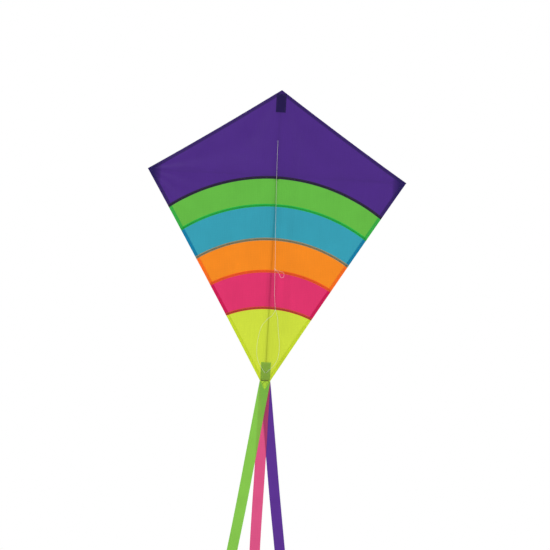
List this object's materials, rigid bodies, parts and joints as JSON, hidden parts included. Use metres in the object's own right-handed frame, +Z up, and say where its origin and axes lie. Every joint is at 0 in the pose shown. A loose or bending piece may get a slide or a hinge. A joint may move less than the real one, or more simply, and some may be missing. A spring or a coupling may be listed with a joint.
{
  "type": "diamond kite",
  "caption": "Flat diamond kite with a rainbow sail of curved bands, a folding cross frame, a cord bridle and ribbon tails.",
  "frame": {"origin": "centre of the cross connector's flat back face, where the spine and spreaders cross", "axes": "+Z up the spine to the nose, +Y out of the back of the sail, so the front of the sail faces -Y"},
  "size_m": [0.7566, 0.054, 1.872],
  "materials": {
    "purple_cloth": "satin",
    "green_cloth": "satin",
    "blue_cloth": "satin",
    "orange_cloth": "satin",
    "pink_cloth": "satin",
    "yellow_cloth": "satin",
    "purple_pocket": "matte",
    "green_pocket": "matte",
    "green_ribbon": "satin",
    "pink_ribbon": "satin",
    "purple_ribbon": "satin",
    "bridle_cord": "matte",
    "fibreglass": "satin",
    "vinyl": "satin"
  },
  "bodies": {
    "frame": {"spine": "fibreglass", "spine_nose_cap": "vinyl", "spine_tail_cap": "vinyl", "cross_connector": "vinyl", "left_neck": "vinyl", "right_neck": "vinyl", "nose_pocket": "purple_pocket", "tail_pocket": "green_pocket", "tail_tab": "green_ribbon", "bridle_top_hitch": "bridle_cord", "bridle_tail_hitch": "bridle_cord", "bridle_upper_leg": "bridle_cord", "bridle_lower_leg": "bridle_cord", "bridle_loop_left": "bridle_cord", "bridle_loop_right": "bridle_cord", "tow_knot": "bridle_cord", "loop_knot": "bridle_cord", "centre_purple_panel": "purple_cloth", "centre_green_panel": "green_cloth", "centre_blue_panel": "blue_cloth", "centre_orange_panel": "orange_cloth", "centre_pink_panel": "pink_cloth", "centre_yellow_panel": "yellow_cloth"},
    "left_wing": {"left_purple_panel": "purple_cloth", "left_green_panel": "green_cloth", "left_blue_panel": "blue_cloth", "left_orange_panel": "orange_cloth", "left_pink_panel": "pink_cloth", "left_yellow_panel": "yellow_cloth", "left_connector_arm": "vinyl", "left_spreader": "fibreglass", "left_spreader_cap": "vinyl", "left_tip_pocket": "purple_pocket"},
    "right_wing": {"right_purple_panel": "purple_cloth", "right_green_panel": "green_cloth", "right_blue_panel": "blue_cloth", "right_orange_panel": "orange_cloth", "right_pink_panel": "pink_cloth", "right_yellow_panel": "yellow_cloth", "right_connector_arm": "vinyl", "right_spreader": "fibreglass", "right_spreader_cap": "vinyl", "right_tip_pocket": "purple_pocket"},
    "tow_loop": {"tow_loop": "bridle_cord"},
    "tails": {"pink_tail": "pink_ribbon"},
    "green_tail": {"green_tail": "green_ribbon"},
    "purple_tail": {"purple_tail": "purple_ribbon"}
  },
  "joints": [
    {"name": "left_wing_fold", "type": "hinge", "parent": "frame", "child": "left_wing", "pos_m": [-0.016, -0.01, 0], "axis": [0, 0, -1], "range_deg": [-7, 81], "stiffness_Nm_per_rad": 0.05, "deforming": ["left_neck"]},
    {"name": "right_wing_fold", "type": "hinge", "parent": "frame", "child": "right_wing", "pos_m": [0.016, -0.01, 0], "axis": [0, 0, 1], "range_deg": [-7, 81], "stiffness_Nm_per_rad": 0.05, "deforming": ["right_neck"]},
    {"name": "tow_loop_turn", "type": "hinge", "parent": "frame", "child": "tow_loop", "pos_m": [0.01, -0.0117, -0.273], "axis": [0, 0, -1], "range_deg": [0, 170]},
    {"name": "tails_swing", "type": "hinge", "parent": "frame", "child": "tails", "pos_m": [0, -0.0088, -0.624], "axis": [1, 0, 0], "range_deg": [-50, 50]},
    {"name": "green_tail_lift", "type": "hinge", "parent": "tails", "child": "green_tail", "pos_m": [0, -0.0088, -0.624], "axis": [-1, 0, 0], "range_deg": [0, 40]},
    {"name": "purple_tail_lift", "type": "hinge", "parent": "tails", "child": "purple_tail", "pos_m": [0, -0.0088, -0.624], "axis": [1, 0, 0], "range_deg": [0, 40]}
  ]
}
